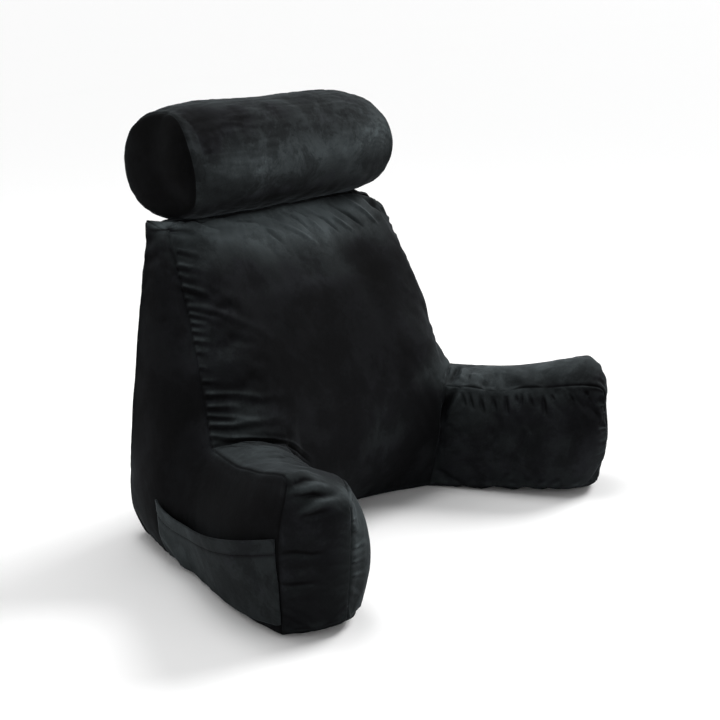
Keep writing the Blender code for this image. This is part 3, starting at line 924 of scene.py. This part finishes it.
def make_cover(roll, shift):
    """Return the cover's skin: sewn from its panels, blown up, puckered and pressed by the roll."""
    mesh = refined(cover_lattice(), COVER_LEVELS, mirrored=True)
    place(mesh, pushed(places(mesh), PUSHES))
    held = seam_vertices(mesh) | (places(mesh)[:, 2] < HELD_BELOW)
    share = np.clip(WRINKLES_KEPT - area_field(places(mesh), CALM),
                    FEWEST_WRINKLES, WRINKLES_KEPT)
    place(mesh, places(mesh) + wrinkles(mesh, held, COVER_FILLING) * share[:, None])
    mesh = refined(mesh, 1)
    finer(mesh, near_details(places(mesh), places(mesh)[seam_vertices(mesh)]))
    co, out = places(mesh), directions(mesh)
    seam = seam_vertices(mesh)
    drawn = 1 - np.clip(area_field(co, QUIET_SEAMS), 0, 1)
    rise = fold_rise(co, out) + pucker_rise(co, out)
    rise += drawn * seam_relief(distance_to(co, co[seam], SEAM_REACH))
    slack = np.clip(WRINKLES_KEPT - LUMPS_CALM_SHARE * area_field(co, CALM), FEWEST_LUMPS, 1.0)
    rise += slack * sum(lumps(co, *kind) for kind in COVER_LUMPS)
    co = pressed(co + out * rise[:, None] + shift, roll, ROLL_GAP, PRESS_REACH)
    co[:, 2] = np.maximum(co[:, 2], 0.0)
    place(mesh, co)
    sewn = co[seam]
    mesh = thinned(mesh, COVER_TRIANGLES)
    co, out = places(mesh), directions(mesh)
    # The cover's tone by place: brushed patches with painted light and shade from its areas,
    # painted light and shade on its slopes, a painted highlight on the folds' crests and painted
    # shade in their troughs.
    flat = co - np.array(shift)
    relief = (fold_rise(flat, out) + pucker_rise(flat, out)) * (1 + area_field(flat, CRISP))
    soft = (area_field(flat, COVER_AREAS) + slope_shading(mesh)
            + RELIEF_SHADING * np.clip(relief, *RELIEF_RANGE))
    # Painted shade along the seams, and a painted shadow where the roll lies on the cover.
    soft += line_shade(SEAM_SHADE, distance_to(co, sewn, SEAM_REACH))
    soft += ROLL_SHADOW_TONE * lies_beside(co, roll, ROLL_SHADOW_REACH)
    nap_and_shading_tones(mesh, COVER_TONES, soft)
    return mesh


# ---- the patch pocket ----
POCKET_THICKNESS = 0.0018
POCKET_LIFT = 0.0012        # between the pocket's cloth and the cover
POCKET_SLACK = 0.014        # how far its mouth stands off
POCKET_FLARE = 2
POCKET_CURL = 0.004         # how far its mouth's rear corner curls off
CURL_SHARE = 0.11
CURL_FLARE = 4
POCKET_COLUMNS = 120
POCKET_ROWS = 44
POCKET_SMOOTHING = 12
POCKET_FOOT = 0.006         # its lower edge, which rises to the front
FOOT_RISE = 0.013
FOOT_FLARE = 5
POCKET_BACK = Vector((-0.310, 0.120, 0))
POCKET_FRONT = Vector((-0.402, -0.182, 0))
POCKET_LUMPS = (0.0005, 0.020, 11)
MOUTH_BACK = 0.098
MOUTH_FRONT = 0.139
MOUTH_SAG = 0.0245
MOUTH_SAG_BACKWARD = 0.6
CAST_FROM = 0.2
HEM_DEPTH = 0.021
HEM_THICKENING = 0.0008
HEM_EDGE = 0.0008
HEM_GROOVE = 0.0008
HEM_GROOVE_WIDTH = 0.0018
HEM_REACH = 0.02


def mouth_height(share):
    line = MOUTH_BACK + (MOUTH_FRONT - MOUTH_BACK) * share
    return line - MOUTH_SAG * math.sin(math.pi * share ** MOUTH_SAG_BACKWARD)


def pocket_place(tree, shift):
    """Return the spots of the cover behind the pocket's grid, and which way it faces there."""
    spots = np.zeros((POCKET_COLUMNS + 1, POCKET_ROWS + 1, 3))
    outward = np.zeros_like(spots)
    for i in range(POCKET_COLUMNS + 1):
        share = i / POCKET_COLUMNS
        along = POCKET_BACK.lerp(POCKET_FRONT, share)
        foot = POCKET_FOOT + FOOT_RISE * share ** FOOT_FLARE
        for j in range(POCKET_ROWS + 1):
            height = foot + (mouth_height(share) - foot) * j / POCKET_ROWS
            outside = Vector((along.x - CAST_FROM, along.y, height)) + shift
            point, normal, _, _ = tree.ray_cast(outside, Vector((1, 0, 0)))
            spots[i, j] = point
            outward[i, j] = Vector((normal.x, normal.y, 0)).normalized()
    for _ in range(POCKET_SMOOTHING):
        for field in (spots, outward):
            field[1:-1, 1:-1] = (field[:-2, 1:-1] + field[2:, 1:-1]
                                 + field[1:-1, :-2] + field[1:-1, 2:]) / 4
            for edge in (-1, 0):
                field[1:-1, edge] = (field[:-2, edge] + field[2:, edge]) / 2
    outward /= np.linalg.norm(outward, axis=2)[:, :, None]
    return spots, outward


def pocket_cloth(tree, spots, outward):
    """Return the pocket's cloth, which lies on the cover but for its slack mouth."""
    bm = bmesh.new()
    grid = []
    for i in range(POCKET_COLUMNS + 1):
        share = i / POCKET_COLUMNS
        column = []
        for j in range(POCKET_ROWS + 1):
            up = j / POCKET_ROWS
            slack = POCKET_SLACK * math.sin(math.pi * share) * up ** POCKET_FLARE
            curl = POCKET_CURL * max(0.0, 1 - share / CURL_SHARE) * up ** CURL_FLARE
            here = Vector(spots[i, j]) + Vector(outward[i, j]) * (POCKET_LIFT + slack + curl)
            point, normal, _, _ = tree.find_nearest(here)
            over = (here - point).dot(normal)
            if over < POCKET_LIFT:
                here += normal * (POCKET_LIFT - over)
            column.append(bm.verts.new(here))
        grid.append(column)
    for left, right in zip(grid, grid[1:]):
        for j in range(POCKET_ROWS):
            bm.faces.new((left[j], right[j], right[j + 1], left[j + 1]))
    bm.normal_update()
    mesh = bpy.data.meshes.new("pocket")
    bm.to_mesh(mesh)
    bm.free()
    thing = shown(mesh, "pocket")
    shell = thing.modifiers.new("cloth", "SOLIDIFY")
    shell.thickness = POCKET_THICKNESS
    shell.offset = 1.0
    shell.use_even_offset = True
    return settled(thing)


def make_pocket(cover, shift):
    """Return the pocket's sheet with its hem, and the points of the hem's stitch line."""
    tree = tree_of(cover)
    mesh = pocket_cloth(tree, *pocket_place(tree, shift))
    co, out = places(mesh), directions(mesh)
    sheet = (POCKET_COLUMNS + 1) * (POCKET_ROWS + 1)
    outer = np.zeros(len(co), bool)
    outer[sheet:2 * sheet] = True
    if (co[outer][:, 0] > co[~outer][:sheet, 0]).mean() > 0.5:
        outer = ~outer
    levels = np.array([mouth_height(i / POCKET_COLUMNS) - HEM_DEPTH
                       for i in range(POCKET_COLUMNS + 1)])
    below = np.repeat(levels, POCKET_ROWS + 1) - co[outer][:, 2]
    relief = HEM_THICKENING / (1 + np.exp(below / HEM_EDGE))
    relief -= HEM_GROOVE * np.exp(-(below / HEM_GROOVE_WIDTH) ** 2)
    relief += lumps(co[outer], *POCKET_LUMPS)
    co[outer] += out[outer] * relief[:, None]
    place(mesh, co)
    hem = []
    for level, line in zip(levels, co[outer].reshape(-1, POCKET_ROWS + 1, 3)):
        hem.append([np.interp(level, line[:, 2], line[:, axis]) for axis in range(3)])
    panel = mesh.attributes.new("panel", "INT", "FACE")
    panel.data.foreach_set("value", [0] * len(mesh.polygons))
    co = places(mesh)
    # The pocket's brushed patch, and painted shade along the hem's groove.
    soft = area_field(co, POCKET_AREAS) + line_shade(HEM_SHADE, distance_to(co, hem, HEM_REACH))
    nap_and_shading_tones(mesh, (POCKET_TONE,), soft)
    return mesh, hem


# ---- the hem's stitches ----
STITCH_SIZES = {"Spacing": 0.0042, "Length": 0.0030, "Radius": 0.00045}
BEAD = {"Segments": 8, "Rings": 5, "Radius": 1.0}


def stitch_tree(material):
    """Build the node tree that lays thread stitches along a line."""
    tree = bpy.data.node_groups.new("stitches", "GeometryNodeTree")
    face = tree.interface
    face.new_socket("Line", in_out="INPUT", socket_type="NodeSocketGeometry")
    for name in STITCH_SIZES:
        face.new_socket(name, in_out="INPUT", socket_type="NodeSocketFloat")
    face.new_socket("Stitches", in_out="OUTPUT", socket_type="NodeSocketGeometry")
    add = tree.nodes.new
    start, end = add("NodeGroupInput"), add("NodeGroupOutput")
    spread = add("GeometryNodeResampleCurve")
    spread.mode = "LENGTH"
    tangent, turn = add("GeometryNodeInputTangent"), add("FunctionNodeAlignRotationToVector")
    turn.axis = "Z"
    bead = add("GeometryNodeMeshUVSphere")
    for name, value in BEAD.items():
        bead.inputs[name].default_value = value
    half = add("ShaderNodeMath")
    half.operation = "MULTIPLY"
    half.inputs[1].default_value = 0.5
    size = add("ShaderNodeCombineXYZ")
    put, real = add("GeometryNodeInstanceOnPoints"), add("GeometryNodeRealizeInstances")
    cloth = add("GeometryNodeSetMaterial")
    cloth.inputs["Material"].default_value = material
    for source, given, target, taken in (
            (start, "Line", spread, "Curve"), (start, "Spacing", spread, "Length"),
            (tangent, "Tangent", turn, "Vector"), (start, "Length", half, 0),
            (start, "Radius", size, "X"), (start, "Radius", size, "Y"),
            (half, "Value", size, "Z"), (spread, "Curve", put, "Points"),
            (bead, "Mesh", put, "Instance"), (turn, "Rotation", put, "Rotation"),
            (size, "Vector", put, "Scale"), (put, "Instances", real, "Geometry"),
            (real, "Geometry", cloth, "Geometry"), (cloth, "Geometry", end, "Stitches")):
        tree.links.new(source.outputs[given], target.inputs[taken])
    return tree


def stitched(name, line, material):
    """Return a mesh of stitches along a line of points."""
    curve = bpy.data.curves.new(name, "CURVE")
    curve.dimensions = "3D"
    spline = curve.splines.new("POLY")
    spline.points.add(len(line) - 1)
    for point, spot in zip(spline.points, line):
        point.co = (*spot, 1.0)
    thing = shown(curve, name)
    sewing = thing.modifiers.new("stitches", "NODES")
    sewing.node_group = stitch_tree(material)
    for socket in sewing.node_group.interface.items_tree:
        if socket.name in STITCH_SIZES:
            sewing[socket.identifier] = STITCH_SIZES[socket.name]
    return settled(thing)


# ---- materials ----
class Value:
    """One socket of a material's recipe; sums and products of it add Math nodes."""

    def __init__(self, recipe, socket):
        self.recipe, self.socket = recipe, socket

    def by(self, operation, first, second):
        return self.recipe.node("ShaderNodeMath", {"operation": operation}, {0: first, 1: second})

    def __add__(self, other):
        return self.by("ADD", self, other)

    def __radd__(self, other):
        return self.by("ADD", other, self)

    def __sub__(self, other):
        return self.by("SUBTRACT", self, other)

    def __rsub__(self, other):
        return self.by("SUBTRACT", other, self)

    def __mul__(self, other):
        return self.by("MULTIPLY", self, other)

    def __rmul__(self, other):
        return self.by("MULTIPLY", other, self)


class Recipe:
    """A material's node tree, built node by node."""

    def __init__(self, name):
        self.material = bpy.data.materials.new(name)
        self.material.use_nodes = True
        self.tree = self.material.node_tree
        self.shader = self.tree.nodes["Principled BSDF"]

    def node(self, kind, settings, sockets, output=0):
        made = self.tree.nodes.new(kind)
        for key, value in settings.items():
            setattr(made, key, value)
        for key, value in sockets.items():
            self.feed(made.inputs[key], value)
        return Value(self, made.outputs[output])

    def feed(self, target, value):
        if isinstance(value, Value):
            self.tree.links.new(value.socket, target)
        else:
            target.default_value = value

    def shade(self, sockets):
        for name, value in sockets.items():
            self.feed(self.shader.inputs[name], value)
        return self.material

    def place(self):
        return self.node("ShaderNodeTexCoord", {}, {}, "Object")

    def noise(self, where, pattern, closer=1.0, output=0):
        return self.node("ShaderNodeTexNoise", {},
                         {"Vector": where, "Scale": closer * pattern.scale,
                          "Detail": pattern.detail, "Roughness": pattern.roughness}, output)

    def step(self, value, low, high):
        return self.node("ShaderNodeMapRange", {"interpolation_type": "SMOOTHSTEP"},
                         {"Value": value, "From Min": low, "From Max": high})

    def mix(self, share, first, second):
        return self.node("ShaderNodeMix", {"data_type": "RGBA"}, {0: share, 6: first, 7: second}, 2)


Noise = namedtuple("Noise", "scale detail roughness")
# The scales of the first four are multiplied by a velvet's own patch scale.
DRIFT = Noise(0.8, 3.0, 0.5)
BROAD = Noise(1.0, 8.0, 0.72)
FINE = Noise(4.2, 4.0, 0.65)
TINT = Noise(1.9, 5.0, 0.7)
BRUSHED = Noise(60.0, 3.0, 0.6)
GRAIN = Noise(300.0, 3.0, 0.75)
PILE = Noise(1400.0, 2.0, 0.7)
RUB = Noise(130.0, 3.0, 0.6)
PLY = Noise(2600.0, 1.0, 0.5)
FLOOR_GRAIN = Noise(30.0, 3.0, 0.5)
BEND = 0.08                 # how far the drift bends the patches
BRUSH_TURN = (0.3, 0.5, 0.4)
BROAD_EDGE, FINE_EDGE, TINT_EDGE = (0.44, 0.56), (0.35, 0.68), (0.20, 0.44)
FINE_SHARE, BRUSHED_SHARE, GRAIN_SHARE, TINT_SHARE = 0.35, 0.2, 1.0, 0.8
CRUSH_BASE = 0.15           # how much of the crush shows where the nap is dark
DEEP = (0.0020, 0.0020, 0.0021, 1.0)
TEAL_GREY = (0.0630, 0.0750, 0.0790, 1.0)
VIOLET_GREY = (0.0645, 0.0702, 0.0820, 1.0)
THREAD_DARK = (0.0020, 0.0018, 0.0018, 1.0)
THREAD_LIGHT = (0.0070, 0.0055, 0.0055, 1.0)
WHITE = (1.0, 1.0, 1.0, 1.0)
FLOOR_WHITE = (0.98, 0.98, 0.98, 1.0)


def velvet(name, crush, patch, streak):
    """Short-pile black velvet: its nap lies in crushed patches that catch more or less light, and
    its colour follows a tone attribute that also holds painted light and shade.
    """
    recipe = Recipe(name)
    where = recipe.place()
    nap_and_shading = recipe.node("ShaderNodeAttribute", {"attribute_name": "nap_and_shading"}, {}, "Fac")
    drift = recipe.noise(where, DRIFT, patch, "Color")
    bent = recipe.node("ShaderNodeVectorMath", {"operation": "MULTIPLY_ADD"},
                       {0: drift, 1: (BEND,) * 3, 2: where})
    broad = recipe.noise(bent, BROAD, patch)
    fine = recipe.noise(bent, FINE, patch)
    lie = recipe.node("ShaderNodeMapping", {}, {"Vector": bent, "Rotation": BRUSH_TURN,
                                                "Scale": streak})
    patches = (recipe.step(broad, *BROAD_EDGE) - 0.5
               + FINE_SHARE * (recipe.step(fine, *FINE_EDGE) - 0.5)
               + BRUSHED_SHARE * (recipe.noise(lie, BRUSHED) - 0.5)
               + GRAIN_SHARE * (recipe.noise(where, GRAIN) - 0.5))
    tone = recipe.node("ShaderNodeClamp", {}, {"Value": nap_and_shading + crush * (CRUSH_BASE + nap_and_shading) * patches})
    tint = nap_and_shading + TINT_SHARE * (recipe.noise(bent, TINT, patch) - 0.5)
    lit = recipe.mix(recipe.step(tint, *TINT_EDGE), VIOLET_GREY, TEAL_GREY)
    height = recipe.noise(where, PILE) * 0.25 + recipe.noise(bent, RUB)
    return recipe.shade({
        # The colour runs from deep black to lit grey by the tone attribute, painted light and shade
        # included.
        "Base Color": recipe.mix(tone * tone, DEEP, lit),
        "Roughness": 0.92 - 0.22 * tone,
        "Normal": recipe.node("ShaderNodeBump", {}, {"Height": height, "Strength": 0.22,
                                                     "Distance": 0.0012}),
        "Specular IOR Level": 0.03,
        "Sheen Weight": 0.07,
        "Sheen Roughness": 0.30,
        "Sheen Tint": (0.80, 0.92, 1.0, 1.0),
    })


def thread():
    """The hem's dark sewing thread."""
    recipe = Recipe("sewing thread")
    ply = recipe.noise(recipe.place(), PLY)
    return recipe.shade({"Base Color": recipe.mix(ply, THREAD_DARK, THREAD_LIGHT),
                          "Roughness": 0.8, "Specular IOR Level": 0.02})


# ---- the room ----
CAMERA_PLACE = Vector((-1.6204, -1.2852, 0.8083))
CAMERA_RIGHT = Vector((0.61832, -0.78588, -0.00825))
CAMERA_UP = Vector((0.20761, 0.15320, 0.96614))
CAMERA_AHEAD = Vector((0.75801, 0.59910, -0.25788))
CAMERA_LENS = 70.09
SENSOR_WIDTH = 36.0
FLOOR_HALF = 300.0
SKY = {"From Min": 0.30, "From Max": 0.70, "To Min": 1.0, "To Max": 0.25}
KEY_FROM = Vector((0.75, -0.15, 0.65))
KEY_POWER = 2.6
KEY_SOFTNESS = math.radians(25)
SOFTBOX_PLACE = Vector((-0.1, 0.5, 2.4))
SOFTBOX_SIZE = 1.4
SOFTBOX_POWER = 30.0
AIM = Vector((0.0, 0.0, 0.30))


def make_floor():
    corners = [(-FLOOR_HALF, -FLOOR_HALF), (FLOOR_HALF, -FLOOR_HALF),
               (FLOOR_HALF, FLOOR_HALF), (-FLOOR_HALF, FLOOR_HALF)]
    mesh = bpy.data.meshes.new("floor")
    mesh.from_pydata([(x, y, 0.0) for x, y in corners], [], [(0, 1, 2, 3)])
    floor = shown(mesh, "floor")
    paint = Recipe("pale floor")
    grain = paint.noise(paint.place(), FLOOR_GRAIN)
    mesh.materials.append(paint.shade({"Roughness": 0.85 + 0.1 * grain,
                                       "Base Color": FLOOR_WHITE}))


def aimed(lamp, source):
    """Turn a lamp so that its light comes from the given side."""
    lamp.rotation_euler = (-source).to_track_quat("-Z", "Y").to_euler()


def make_light():
    """The sky, which is brighter low down, the broad key light and the softbox overhead."""
    world = bpy.data.worlds.new("room")
    bpy.context.scene.world = world
    world.use_nodes = True
    nodes, join = world.node_tree.nodes, world.node_tree.links.new
    sky, look = nodes["Background"], nodes.new("ShaderNodeTexCoord")
    sky.inputs["Color"].default_value = WHITE
    split, fall = nodes.new("ShaderNodeSeparateXYZ"), nodes.new("ShaderNodeMapRange")
    fall.interpolation_type = "SMOOTHSTEP"
    for name, value in SKY.items():
        fall.inputs[name].default_value = value
    join(look.outputs["Generated"], split.inputs["Vector"])
    join(split.outputs["Z"], fall.inputs["Value"])
    join(fall.outputs["Result"], sky.inputs["Strength"])

    sun = bpy.data.lights.new("key", "SUN")
    sun.energy, sun.angle = KEY_POWER, KEY_SOFTNESS
    aimed(shown(sun, "key"), KEY_FROM)

    lamp = bpy.data.lights.new("top softbox", "AREA")
    lamp.shape = "RECTANGLE"
    lamp.size = lamp.size_y = SOFTBOX_SIZE
    lamp.energy = SOFTBOX_POWER
    softbox = shown(lamp, "top softbox")
    softbox.location = SOFTBOX_PLACE
    aimed(softbox, SOFTBOX_PLACE - AIM)


def make_camera(shift):
    camera = shown(bpy.data.cameras.new("camera"), "camera")
    camera.data.sensor_width = SENSOR_WIDTH
    camera.data.lens = CAMERA_LENS
    turn = Matrix((CAMERA_RIGHT, CAMERA_UP, -CAMERA_AHEAD)).transposed()
    camera.matrix_world = Matrix.Translation(CAMERA_PLACE + shift) @ turn.to_4x4()
    bpy.context.scene.camera = camera
    bpy.context.scene.view_settings.view_transform = "Standard"


def main():
    # The shift brings every piece to where its solid lies.
    rough = pushed(places(roll_skin()), ROLL_PUSHES)
    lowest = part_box("neck_roll")[0]
    shift = Vector((lowest[0] - rough[:, 0].min(), lowest[1] - rough[:, 1].min(), 0.0))

    roll = make_roll(shift)
    cover = make_cover(roll, shift)
    pocket, hem = make_pocket(cover, shift)

    cover_piece = shown(cover, "filled_cover")
    finished(cover_piece, velvet("cover velvet", crush=0.22, patch=8.0, streak=(0.3, 0.3, 1.0)))
    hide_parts("body")

    roll_piece = shown(roll, "filled_roll")
    finished(roll_piece, velvet("roll velvet", crush=0.29, patch=12.0, streak=(0.6, 1.0, 1.0)))
    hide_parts("neck_roll")

    pocket_piece = shown(pocket, "patch_pocket")
    finished(pocket_piece, velvet("pocket velvet", crush=0.18, patch=14.0, streak=(1.0, 1.0, 0.3)))
    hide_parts("pocket")

    seam = thread()
    stitches = shown(stitched("hem_stitches", hem, seam), "hem_stitches")
    finished(stitches, seam)

    make_floor()
    make_light()
    make_camera(shift)


main()
